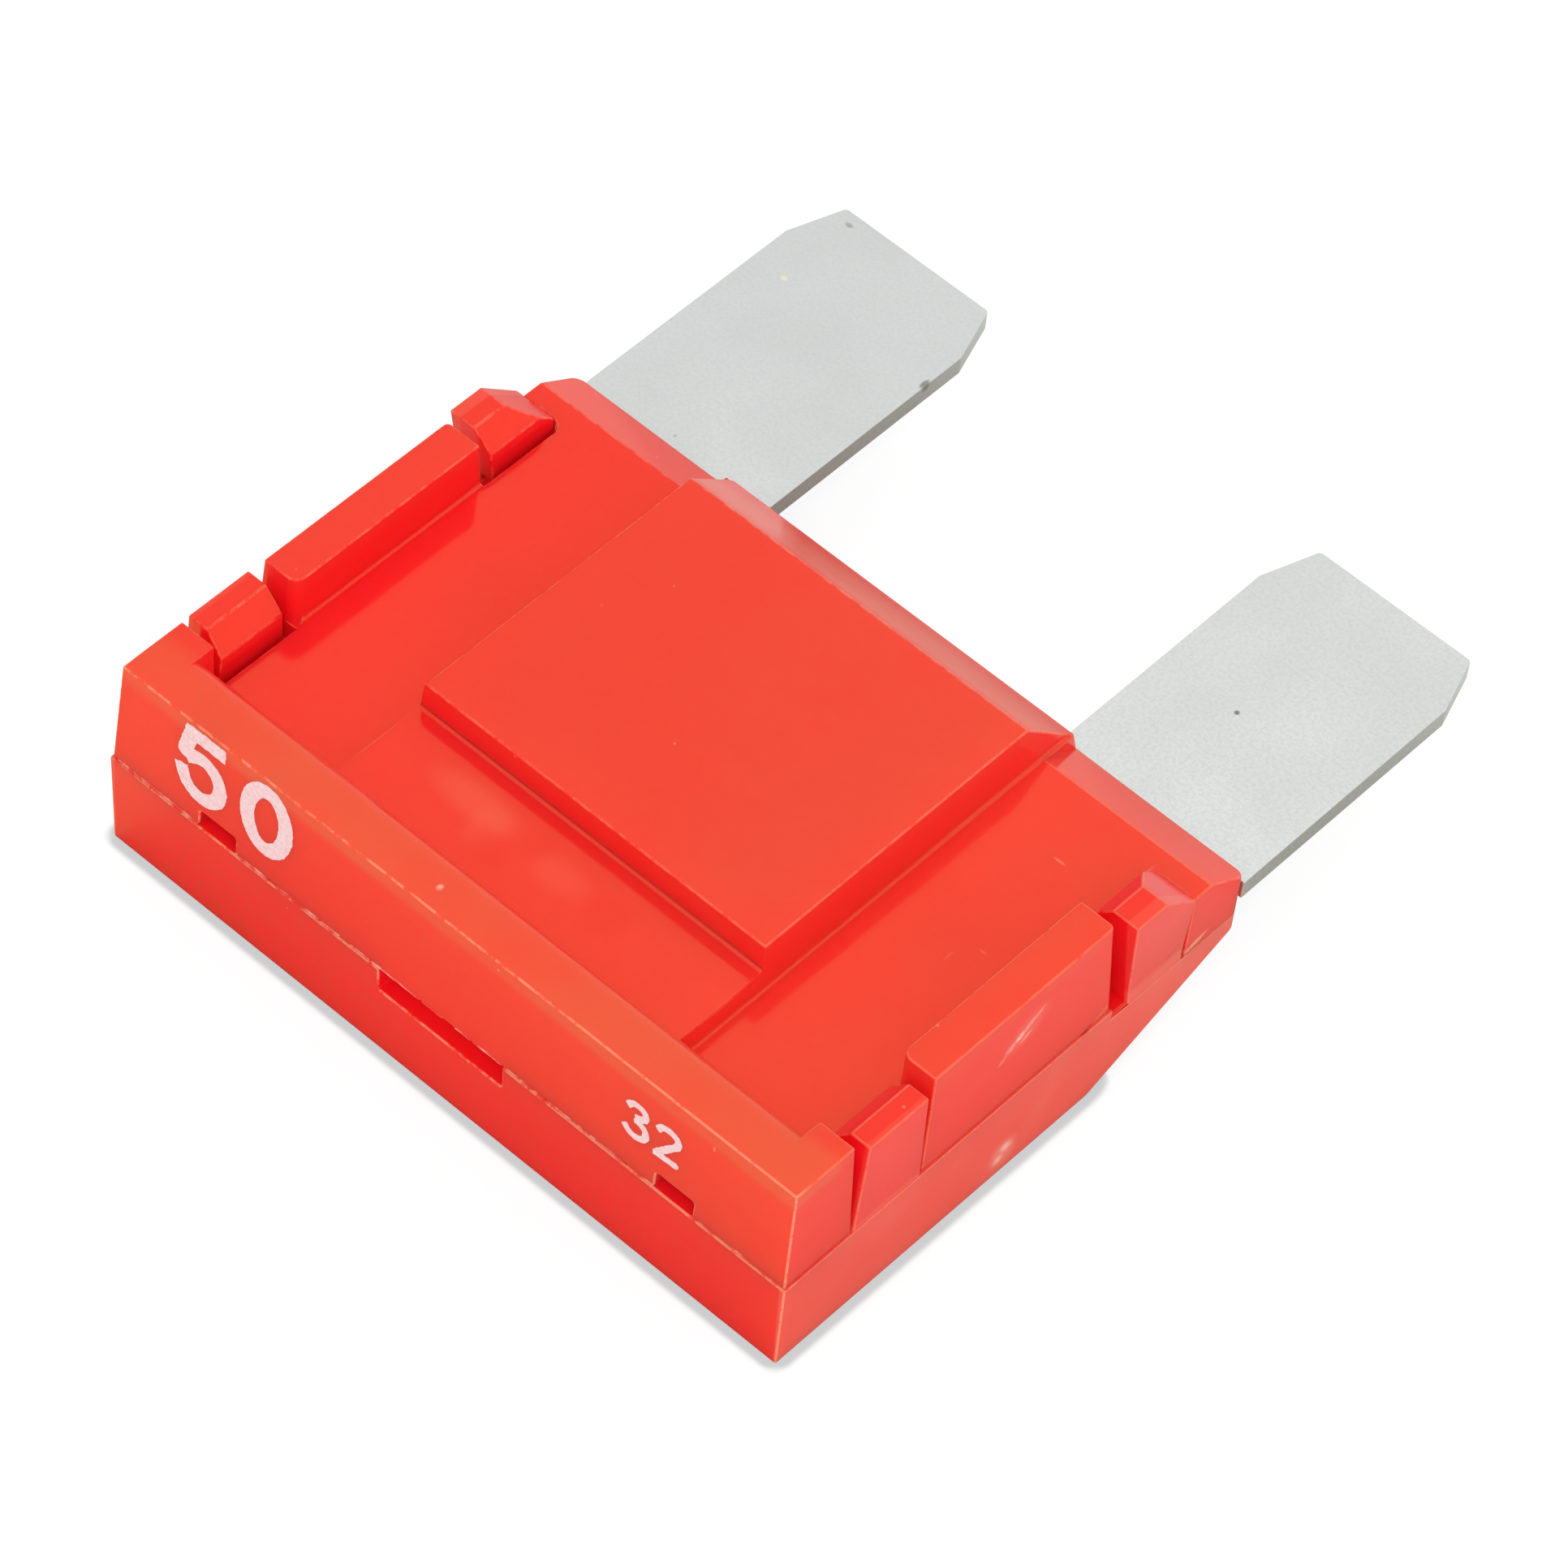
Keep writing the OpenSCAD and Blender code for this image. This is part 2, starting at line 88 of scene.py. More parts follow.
def node_maker(tree):
    """Function that adds a node to a tree, with its inputs in order and its settings by name."""
    def node(kind, *values, **settings):
        made = tree.nodes.new(kind)
        for key, value in settings.items():
            setattr(made, key, value)
        for socket, value in zip(made.inputs, values):
            if isinstance(value, bpy.types.NodeSocket):
                tree.links.new(value, socket)
            else:
                socket.default_value = value
        return made.outputs
    return node


class Graph:
    """Short calls for building a material's nodes."""

    def __init__(self, name):
        self.material = bpy.data.materials.new(name)
        self.material.use_nodes = True
        self.tree = self.material.node_tree
        self.tree.nodes.clear()
        self.out = self.node("ShaderNodeOutputMaterial")
        self.bsdf = self.node("ShaderNodeBsdfPrincipled")
        self.link(self.bsdf.outputs[0], self.out.inputs["Surface"])
        self.place = self.node("ShaderNodeTexCoord").outputs["Object"]

    def node(self, kind, **values):
        made = self.tree.nodes.new(kind)
        for key, value in values.items():
            setattr(made, key, value)
        return made

    def link(self, source, target):
        self.tree.links.new(source, target)

    def put(self, socket, value):
        """A socket's value: another socket or a plain number, colour or vector."""
        if isinstance(value, bpy.types.NodeSocket):
            self.link(value, socket)
        else:
            socket.default_value = value

    def math(self, operation, a, b=0.0):
        made = self.node("ShaderNodeMath", operation=operation)
        for socket, value in zip(made.inputs, (a, b)):
            self.put(socket, value)
        return made.outputs[0]

    def times(self, first, *others):
        """Product of two or more numbers."""
        for other in others:
            first = self.math("MULTIPLY", first, other)
        return first

    def vector(self, operation, a, b=(0, 0, 0)):
        made = self.node("ShaderNodeVectorMath", operation=operation)
        self.put(made.inputs[0], a)
        self.put(made.inputs[1], b)
        return made.outputs["Value" if operation in ("LENGTH", "DOT_PRODUCT") else "Vector"]

    def scaled(self, factors=(1, 1, 1)):
        """The place on the surface in millimetres, times factors."""
        mm = self.vector("SCALE", self.place)
        mm.node.inputs["Scale"].default_value = 1 / MM
        return self.vector("MULTIPLY", mm, factors)

    def noise(self, size, detail=2.0, rough=0.5, where=None):
        """Noise from 0 to 1 with features of about the given size in millimetres."""
        made = self.node("ShaderNodeTexNoise", noise_dimensions="3D")
        self.link(self.scaled() if where is None else where, made.inputs["Vector"])
        made.inputs["Scale"].default_value = 1 / size
        made.inputs["Detail"].default_value = detail
        made.inputs["Roughness"].default_value = rough
        return made.outputs["Fac"]

    def ramp(self, value, low, high, out_low=0.0, out_high=1.0, smooth=True):
        """Value from low..high mapped to out_low..out_high, clamped."""
        made = self.node("ShaderNodeMapRange", interpolation_type="SMOOTHSTEP" if smooth else "LINEAR")
        self.put(made.inputs["Value"], value)
        ends = {"From Min": low, "From Max": high, "To Min": out_low, "To Max": out_high}
        for name, number in ends.items():
            self.put(made.inputs[name], number)
        return made.outputs["Result"]

    def mix(self, factor, a, b):
        made = self.node("ShaderNodeMix", data_type="RGBA")
        self.put(made.inputs["Factor"], factor)
        for name, value in (("A", a), ("B", b)):
            socket = [s for s in made.inputs if s.name == name and s.type == "RGBA"][0]
            self.put(socket, value if isinstance(value, bpy.types.NodeSocket) else (*value, 1.0))
        return [s for s in made.outputs if s.type == "RGBA"][0]

    def bump(self, height, distance, normal=None):
        """Height from 0 to 1 raised by the given distance in millimetres."""
        made = self.node("ShaderNodeBump")
        made.inputs["Strength"].default_value = 1.0
        made.inputs["Distance"].default_value = distance * MM
        self.put(made.inputs["Height"], height)
        if normal is not None:
            self.link(normal, made.inputs["Normal"])
        return made.outputs["Normal"]

    def spot(self, centre, radii, edge, turn):
        """1 inside an ellipsoid about a point in millimetres, with a soft edge, turned about X."""
        at = self.vector("SUBTRACT", self.scaled(), centre)
        if turn:
            turned = self.node("ShaderNodeVectorRotate", rotation_type="X_AXIS")
            self.link(at, turned.inputs["Vector"])
            turned.inputs["Angle"].default_value = math.radians(turn)
            at = turned.outputs[0]
        far = self.vector("LENGTH", self.vector("DIVIDE", at, radii))
        return self.ramp(far, 1 + edge, 1 - edge)

    def specks(self, colour, shade, stretch, channel, rarity, outer, inner):
        """Colour with specks of a shade laid over it at half strength. A speck lies at the centre
        of each cell whose random number, one channel of the cell's colour, is above rarity, and it
        fades in from the outer to the inner distance."""
        cells = self.node("ShaderNodeTexVoronoi", feature="F1")
        self.link(self.scaled(stretch), cells.inputs["Vector"])
        cells.inputs["Scale"].default_value = 1 / SPECK_CELL
        number = self.vector("DOT_PRODUCT", cells.outputs["Color"], channel)
        lone = self.math("GREATER_THAN", number, rarity)
        near = self.ramp(cells.outputs["Distance"], outer, inner)
        return self.mix(self.times(near, lone, 0.5), colour, shade)


def srgb(r, g, b):
    """Linear colour of an sRGB colour given as 0 to 255."""
    def one(v):
        v /= 255
        return v / 12.92 if v <= 0.04045 else ((v + 0.055) / 1.055) ** 2.4
    return one(r), one(g), one(b)


# Materials

RED = (0.925, 0.0105, 0.02)
# Painted shade: the raised top faces are given a slightly darker red
RED_TOP_SHADE = (0.875, 0.0105, 0.019)
# Painted sheen: a pale veil on the upper half's top faces, and on the lower half's side walls
RED_SHEEN = (0.83, 0.08, 0.042)
RED_SHEEN_LOW = (0.92, 0.145, 0.11)
# Painted highlight on the slopes that face the blades
RED_LIT_SLOPE = (0.95, 0.16, 0.115)
# Painted shade, low and to the left on the lower half's front face
RED_LOW_SHADE = (0.72, 0.03, 0.014)
# Pale rounded edges: partly wear, partly painted highlight
RED_EDGE_WEAR_AND_GLINT = (0.95, 0.27, 0.17)
RED_FLOW = (0.92, 0.017, 0.018)
RED_MOTTLE = (0.92, 0.05, 0.035)
RED_SPECK = (0.95, 0.3, 0.2)
SPECULAR_TINT = (1.0, 1.0, 0.35, 1.0)
PLASTIC_IOR = 1.52
DEPTH_WEIGHT, DEPTH_RADIUS, DEPTH_MM = 0.6, (1.0, 0.08, 0.06), 1.3

# Heights of the surface's unevenness, in millimetres
WAVES, SKIN, GRAIN = 0.025, 0.0018, 0.0007
SHEET_GRAIN, INK_GRAIN = 0.0012, 0.001

# Soft edges of the marks as a share of their radii, and the radius below which a mark is mottled
MARK_EDGE, SHEET_MARK_EDGE = 0.6, 0.5
THIN_MARK = 0.25

# Marks on the moulding, some of them painted highlights and reflections: centre and radii in
# millimetres, turn about X in degrees, strength, colour
MARKS = [
    ((14.45, -6.1, 7.1), (0.3, 0.9, 0.5), -27, 0.3, (0.95, 0.22, 0.18)),
    ((14.45, -6.4, 7.05), (0.3, 0.2, 0.13), -27, 0.95, (0.97, 0.6, 0.54)),
    ((14.45, -5.95, 7.3), (0.2, 0.28, 0.1), -35, 0.8, (0.97, 0.46, 0.4)),
    ((14.45, -5.55, 7.5), (0.2, 0.25, 0.08), -30, 0.6, (0.97, 0.38, 0.32)),
    ((14.45, -6.1, 6.8), (0.2, 0.25, 0.07), -27, 0.6, (0.97, 0.4, 0.34)),
    ((14.45, -6.85, 6.8), (0.2, 0.26, 0.13), -32, 0.7, (0.97, 0.42, 0.36)),
    ((14.45, -7.2, 6.5), (0.2, 0.2, 0.1), -32, 0.5, (0.96, 0.3, 0.24)),
    ((14.5, -6.45, 1.1), (0.3, 0.55, 0.6), -20, 0.55, (0.96, 0.3, 0.24)),
    ((14.5, -6.3, 1.3), (0.2, 0.26, 0.22), 20, 0.8, (0.98, 0.55, 0.48)),
    ((14.5, -6.65, 0.85), (0.2, 0.2, 0.2), 20, 0.8, (0.98, 0.5, 0.42)),
    ((14.6, 2.35, 4.02), (0.2, 0.5, 0.11), -14, 0.95, (0.98, 0.33, 0.19)),
    ((14.5, 1.1, 4.6), (0.2, 0.45, 0.15), -25, 0.5, (0.6, 0.05, 0.03)),
    ((14.5, -2.9, 4.22), (0.2, 0.3, 0.1), -25, 0.7, (0.55, 0.008, 0.01)),
    ((14.5, -2.2, 4.42), (0.2, 0.45, 0.1), -25, 0.6, (0.95, 0.11, 0.03)),
    # Painted highlight along the rear hook's inner top edge
    ((12.8, 0.5, 6.75), (0.07, 1.1, 0.35), 0, 0.8, (0.97, 0.5, 0.36)),
    # Painted reflection on the plateau: paler patches and deep red ones
    ((-3.5, -12.1, 7.55), (1.5, 0.6, 0.3), 0, 0.5, (0.94, 0.1, 0.07)),
    ((-2.5, -12.6, 7.55), (0.6, 0.8, 0.3), 0, 0.35, (0.94, 0.1, 0.07)),
    ((0.4, -12.4, 7.55), (1.0, 0.6, 0.3), 0, 0.35, (0.94, 0.09, 0.065)),
    ((-1.8, -13.3, 7.55), (0.7, 0.7, 0.3), 0, 0.5, (0.88, 0.008, 0.014)),
    ((-0.9, -12.0, 7.55), (0.5, 0.7, 0.3), 0, 0.4, (0.88, 0.008, 0.014)),
    ((2.5, -12.5, 7.55), (0.7, 0.8, 0.3), 0, 0.45, (0.88, 0.008, 0.014)),
    ((-1.33, -16.05, 8.65), (0.09, 0.12, 0.2), 0, 0.9, (0.97, 0.5, 0.4)),
    ((11.1, -17.1, 7.94), (0.06, 0.2, 0.14), 0, 0.7, (0.97, 0.45, 0.35)),
    ((10.58, -0.05, 6.65), (0.2, 0.05, 0.2), 0, 0.6, (0.97, 0.35, 0.26)),
    # Pale lines on the plateau's side edges, partly wear and partly painted highlight, as on the rounded
    # edges
    ((-7.4, -12.6, 7.5), (0.05, 1.4, 0.1), 0, 0.7, (0.95, 0.25, 0.2)),
    ((7.4, -12.6, 7.5), (0.05, 1.4, 0.1), 0, 0.6, (0.95, 0.2, 0.15)),
    ((10.6, -5.4, 6.65), (0.05, 0.2, 0.2), 0, 0.35, (0.96, 0.22, 0.17)),
    ((11.3, -4.5, 6.65), (0.16, 0.05, 0.2), 0, 0.3, (0.96, 0.22, 0.17)),
]

# Marks on the blades
SHEET_MARKS = [
    ((9.83, 9.87, 4.95), (0.09, 0.09, 0.3), 0, 0.85, (0.17, 0.17, 0.165)),
    ((-13.1, 13.2, 4.95), (0.13, 0.1, 0.3), 0, 0.8, (0.9, 0.82, 0.6)),
    ((-6.65, 13.1, 4.95), (0.1, 0.22, 0.3), 0, 0.8, (0.22, 0.22, 0.21)),
    ((-13.2, 16.6, 4.95), (0.15, 0.09, 0.3), 0, 0.7, (0.36, 0.36, 0.35)),
]


def red_plastic(name, worn_and_glinting_edges=False, lower_half=False):
    """Glossy through-coloured red plastic: faint flow marks, moulding grain, dust specks and scuffs,
    with painted sheen, shade and highlights laid into its colour.
    """
    g = Graph(name)
    axes = g.node("ShaderNodeSeparateXYZ")
    g.link(g.scaled(), axes.inputs[0])
    x, y, z = axes.outputs
    broad = g.noise(5.0, 2, 0.5)
    fine = g.noise(0.45, 3, 0.6)
    grain = g.noise(0.11, 2, 0.6)

    # Painted shade: the raised top faces get the slightly darker red
    raised = g.ramp(z, 7.8, 8.4)
    base = g.mix(raised, RED, RED_TOP_SHADE)
    if lower_half:
        # Painted sheen: a pale haze on the side walls. Painted shade: dark blotches on the front face,
        # strongest low and to the left
        side = g.times(g.ramp(g.math("ABSOLUTE", x), 14.35, 14.45), g.ramp(z, 4.6, 4.1, 0.4, 1.0))
        sheen = g.times(side, g.ramp(y, HEAD_Y, 2, 0.6, 1.0, smooth=False))
        colour = g.mix(sheen, base, RED_SHEEN_LOW)
        # Painted shade: dark blotches on the front face, low and to the left
        shade_blotches = g.ramp(g.noise(0.9, 4, 0.7), 0.35, 0.7)
        low_left = g.times(g.ramp(z, 4.0, 0.2, 0.35, 1.0), g.ramp(x, 8, -14, 0.45, 1.0))
        front = g.ramp(y, HEAD_Y + 0.3, HEAD_Y + 0.2)
        colour = g.mix(g.times(shade_blotches, low_left, front, 0.75), colour, RED_LOW_SHADE)
    else:
        # Painted sheen: the top faces are a little hazier than the recessed panels, most of all the head
        # bar's, and the right side more than the left. Painted highlight: the slopes that face the blades
        # are paler
        head = g.ramp(y, HEAD_Y + 2.6, HEAD_Y + 1.6)
        cloud = g.ramp(g.noise(2.4, 3, 0.6), 0.2, 0.8, 0.7, 1.0)
        right = g.ramp(x, -12, 12, 0.0, 0.4, smooth=False)
        sheen = g.times(g.math("ADD", right, g.times(raised, g.math("ADD", head, 0.2))), cloud)
        colour = g.mix(sheen, base, RED_SHEEN)
        # Painted highlight: the slopes that face back and up are paler
        facing = g.node("ShaderNodeNewGeometry").outputs["Normal"]
        back = g.ramp(g.vector("DOT_PRODUCT", facing, (0, 1, 0)), 0.3, 0.45)
        upward = g.ramp(g.vector("DOT_PRODUCT", facing, (0, 0, 1)), 0.15, 0.3)
        lit_slope = g.times(back, upward, g.ramp(y, 1.5, 2.5), g.ramp(z, 6.6, 7.8, 0.2, 0.8))
        colour = g.mix(lit_slope, colour, RED_LIT_SLOPE)

    # Flow marks, the marks of the list, among them painted highlights and reflections, and pale dust
    # and mould specks
    colour = g.mix(g.ramp(broad, 0.35, 0.7, 0, 0.35), colour, RED_FLOW)
    colour = g.mix(g.ramp(fine, 0.3, 0.75, 0, 0.06), colour, RED_MOTTLE)
    for centre, radii, turn, strength, shade in MARKS:
        thin = min(radii) < THIN_MARK
        mottle = g.ramp(fine, 0.3, 0.6, 0.35 * strength, strength) if thin else strength
        colour = g.mix(g.times(g.spot(centre, radii, MARK_EDGE, turn), mottle), colour, shade)
    colour = g.specks(colour, RED_SPECK, (1, 1, 1), (1, 0, 0), 0.8, 0.07, 0.03)

    # Pale rounded edges, partly wear and partly painted highlight, more to the right and at the front
    if worn_and_glinting_edges:
        more = g.ramp(x, 2, 9, 0.05, 0.14)
        rub_and_glint = g.ramp(g.math("ADD", g.noise(0.5, 4, 0.75), more), 0.44, 0.64)
        front = g.ramp(y, HEAD_Y + 0.9, HEAD_Y + 0.3, 0.35, 0.85)
        colour = g.mix(g.times(rub_and_glint, front), colour, RED_EDGE_WEAR_AND_GLINT)

    g.put(g.bsdf.inputs["Base Color"], colour)
    smooth = g.ramp(g.noise(1.6, 3, 0.6), 0.25, 0.75, 0.1, 0.16)
    g.put(g.bsdf.inputs["Roughness"], g.math("ADD", smooth, g.times(raised, 0.1)))
    g.bsdf.inputs["IOR"].default_value = PLASTIC_IOR
    g.bsdf.inputs["Subsurface Weight"].default_value = DEPTH_WEIGHT
    g.bsdf.inputs["Subsurface Radius"].default_value = DEPTH_RADIUS
    g.bsdf.inputs["Subsurface Scale"].default_value = DEPTH_MM * MM
    g.bsdf.inputs["Specular Tint"].default_value = SPECULAR_TINT
    waves = g.bump(g.noise(3.2, 1, 0.4), WAVES)
    skin = g.bump(fine, SKIN, normal=waves)
    g.link(g.bump(grain, GRAIN, normal=skin), g.bsdf.inputs["Normal"])
    return g.material


def flash_plastic():
    """The thin moulding flash on the seam, pale where it has been rubbed."""
    g = Graph("flash_plastic")
    colour = g.mix(g.ramp(g.noise(0.5, 3, 0.6), 0.42, 0.7), (0.85, 0.03, 0.025), (0.95, 0.34, 0.27))
    g.put(g.bsdf.inputs["Base Color"], colour)
    g.put(g.bsdf.inputs["Roughness"], g.ramp(g.noise(0.3), 0.3, 0.7, 0.35, 0.5))
    return g.material


def zinc_sheet():
    """Rolled zinc-alloy sheet: dull silver with a fine grain along the strip and faint specks, and a
    painted sheen that is lighter to the right and toward the housing.
    """
    g = Graph("zinc_sheet")
    along = g.noise(0.16, 3, 0.6, where=g.scaled((1.0, 0.12, 1.0)))
    cloud = g.noise(4.0, 3, 0.5)
    fine = g.noise(0.13, 3, 0.65)
    # Painted sheen: the blades are lighter to the right and toward the housing
    blade_sheen = g.ramp(g.vector("DOT_PRODUCT", g.scaled((1, -1.2, 0)), (1, 1, 0)), -24, 6, smooth=False)
    colour = g.mix(blade_sheen, srgb(217, 220, 218), srgb(231, 234, 231))
    colour = g.mix(g.ramp(cloud, 0.3, 0.7, 0, 0.25), colour, srgb(206, 210, 208))
    colour = g.mix(g.ramp(fine, 0.35, 0.7, 0, 0.5), colour, srgb(204, 208, 206))
    colour = g.specks(colour, srgb(140, 142, 140), (1, 0.6, 1), (0, 1, 0), 0.88, 0.06, 0.025)
    for centre, radii, turn, strength, shade in SHEET_MARKS:
        colour = g.mix(g.times(g.spot(centre, radii, SHEET_MARK_EDGE, turn), strength), colour, shade)
    g.put(g.bsdf.inputs["Base Color"], colour)
    g.bsdf.inputs["Metallic"].default_value = 1.0
    g.put(g.bsdf.inputs["Roughness"], g.ramp(cloud, 0.3, 0.7, 0.42, 0.52))
    grain = g.bump(along, SHEET_GRAIN)
    g.link(g.bump(fine, SHEET_GRAIN, normal=grain), g.bsdf.inputs["Normal"])
    return g.material


def ink():
    """Pad-printed pinkish white ink, thin enough for the red to show through in spots."""
    g = Graph("white_ink")
    thin = g.ramp(g.noise(0.16, 3, 0.6), 0.35, 0.75)
    colour = g.mix(thin, (0.92, 0.70, 0.72), (0.92, 0.50, 0.50))
    g.put(g.bsdf.inputs["Base Color"], colour)
    g.put(g.bsdf.inputs["Roughness"], g.ramp(thin, 0, 1, 0.5, 0.65))
    g.link(g.bump(g.noise(0.1, 2, 0.6), INK_GRAIN), g.bsdf.inputs["Normal"])
    return g.material


red = red_plastic("red_plastic")
red_edge = red_plastic("red_plastic_edges", worn_and_glinting_edges=True)
red_low = red_plastic("red_plastic_lower", lower_half=True)
red_low_edge = red_plastic("red_plastic_lower_edges", worn_and_glinting_edges=True, lower_half=True)
zinc = zinc_sheet()
flash = flash_plastic()
white_ink = ink()


# The CAD solids: small radii on their sharp outward edges, and their materials

# Angles in degrees, lengths in millimetres
SOFT_ANGLE = 31
FLAT_ANGLE = 0.4
WELD_REACH = 0.001
HOUSING_RADIUS, ELEMENT_RADIUS = 0.06, 0.04
RADIUS_STEPS = 3
FACE_WEIGHT = 60

# Places that are too narrow for a bevel: the block's front corners, the plateau's sides, and the
# block's foot beside the chamfer. Each has x to both sides, y, the distance from the seam and a reach
NARROW = [
    (7.4, -10.55, 3.5, 0.6),
    (7.37, -12.5, 3.2, 0.3),
    (7.5, 3.4, 2.33, 0.3),
    (7.45, 4.07, 2.35, 0.36),
]


def edge_picker():
    """Geometry nodes that pick the outward edges sharper than SOFT_ANGLE for a bevel, apart from
    those in the narrow places, and mark the other sharp edges so that their shading stays sharp."""
    tree = bpy.data.node_groups.new("pick_edges", "GeometryNodeTree")
    tree.interface.new_socket("Geometry", in_out="INPUT", socket_type="NodeSocketGeometry")
    tree.interface.new_socket("Geometry", in_out="OUTPUT", socket_type="NodeSocketGeometry")
    node = node_maker(tree)
    start, end = tree.nodes.new("NodeGroupInput"), tree.nodes.new("NodeGroupOutput")
    angle = node("GeometryNodeInputMeshEdgeAngle")["Signed Angle"]
    x, y, z = node("ShaderNodeSeparateXYZ", node("GeometryNodeInputPosition")[0])
    sharp = node("ShaderNodeMath", angle, math.radians(SOFT_ANGLE), operation="GREATER_THAN")[0]
    side = node("ShaderNodeMath", x, operation="ABSOLUTE")[0]
    high = node("ShaderNodeMath", z, SEAM_Z * MM, operation="SUBTRACT")[0]
    high = node("ShaderNodeMath", high, operation="ABSOLUTE")[0]
    place = node("ShaderNodeCombineXYZ", side, y, high)[0]
    for *at, reach in NARROW:
        far = node("ShaderNodeVectorMath", place, [v * MM for v in at], operation="DISTANCE")["Value"]
        free = node("ShaderNodeMath", far, reach * MM, operation="GREATER_THAN")[0]
        sharp = node("ShaderNodeMath", sharp, free, operation="MULTIPLY")[0]
    bend = node("ShaderNodeMath", angle, operation="ABSOLUTE")[0]
    bent = node("ShaderNodeMath", bend, math.radians(SOFT_ANGLE), operation="GREATER_THAN")[0]
    kept = node("ShaderNodeMath", bent, sharp, operation="GREATER_THAN")[0]
    mesh = start.outputs[0]
    for attribute, kind, value in (("bevel_weight_edge", "FLOAT", sharp), ("sharp_edge", "BOOLEAN", kept)):
        store = tree.nodes.new("GeometryNodeStoreNamedAttribute")
        store.data_type, store.domain = kind, "EDGE"
        store.inputs["Name"].default_value = attribute
        tree.links.new(value, store.inputs["Value"])
        tree.links.new(mesh, store.inputs["Geometry"])
        mesh = store.outputs["Geometry"]
    tree.links.new(mesh, end.inputs[0])
    return tree


pick_edges = edge_picker()


def dress(node, materials, radius):
    """Rounds a CAD node's edges and gives the node its materials, the last of them on the edges.
    Loop slide stays off on the upper half, where it folds the rounding over itself."""
    o = nodes[node]
    o.data.materials.clear()
    for material in materials:
        o.data.materials.append(material)
    weld = o.modifiers.new("weld", "WELD")
    weld.merge_threshold = WELD_REACH * MM
    flat = o.modifiers.new("flat", "DECIMATE")
    flat.decimate_type = "DISSOLVE"
    flat.angle_limit = math.radians(FLAT_ANGLE)
    o.modifiers.new("pick", "NODES").node_group = pick_edges
    edges = o.modifiers.new("edges", "BEVEL")
    edges.width = radius * MM
    edges.segments = RADIUS_STEPS
    edges.limit_method = "WEIGHT"
    edges.use_clamp_overlap = False
    edges.loop_slide = node != "upper_housing"
    edges.material = len(materials) - 1
    shade = o.modifiers.new("shade", "WEIGHTED_NORMAL")
    shade.weight = FACE_WEIGHT
    shade.keep_sharp = True


dress("lower_housing", [red_low, red_low_edge], HOUSING_RADIUS)
dress("upper_housing", [red, red_edge], HOUSING_RADIUS)
dress("fuse_element", [zinc], ELEMENT_RADIUS)


# Printed numbers: thin ink shapes on the head face, drawn as strokes with slightly ragged edges

# Cell size and thickness in millimetres, and the angle in degrees up to which faces are joined
INK_STEP = 0.04
INK_T = 0.012
INK_SMOOTH = 2
END_CUT = 0.1
FAR = 1e9
# The ragged edge's noise: how many waves per millimetre, and height in millimetres
RAGGED = [(5.5, 0.028), (14, 0.014)]


def arc(cx, cy, rx, ry, start, end, count):
    """Points on an ellipse from one angle to another, in degrees."""
    turns = [math.radians(start + (end - start) * i / count) for i in range(count + 1)]
    return [(cx + rx * math.cos(turn), cy + ry * math.sin(turn)) for turn in turns]


def stroke_distance(points, strokes, half):
    """Distance of each point to the nearest stroke's middle line. A stroke's ends are square, and
    reach half its width beyond the line, less END_CUT of that."""
    best = np.full(len(points), FAR)
    for stroke in strokes:
        ends = (0, len(stroke) - 2)
        for i, (a, b) in enumerate(zip(stroke[:-1], stroke[1:])):
            a, b = np.array(a), np.array(b)
            along = (b - a) / np.hypot(*(b - a))
            s = (points - a) @ along
            off = np.abs((points - a) @ np.array((-along[1], along[0])))
            length = np.hypot(*(b - a))
            beyond = np.maximum(np.maximum(-s, s - length), 0)
            best = np.minimum(best, np.hypot(off, beyond))
            if i in ends:
                outward = -s if i == 0 else s - length
                square = np.where(outward > 0, np.maximum(off, outward + half * END_CUT), FAR)
                best = np.minimum(best, square)
    return best


def head_face(x, z, off):
    """Point on the upper half's leaning head face, moved out by off, all in millimetres."""
    lean = HEAD_DRAFT * (z - SEAM_Z) / (TOP_Z - SEAM_Z)
    return x * MM, (HEAD_Y + RIM_STEP + lean - off) * MM, z * MM


def add_mesh(name, mesh, material):
    """New object of a bmesh with its normals outward, riding on the part."""
    bmesh.ops.recalc_face_normals(mesh, faces=mesh.faces[:])
    data = bpy.data.meshes.new(name)
    mesh.to_mesh(data)
    mesh.free()
    data.materials.append(material)
    o = add_object(name, data)
    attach(o, "root")
    return o


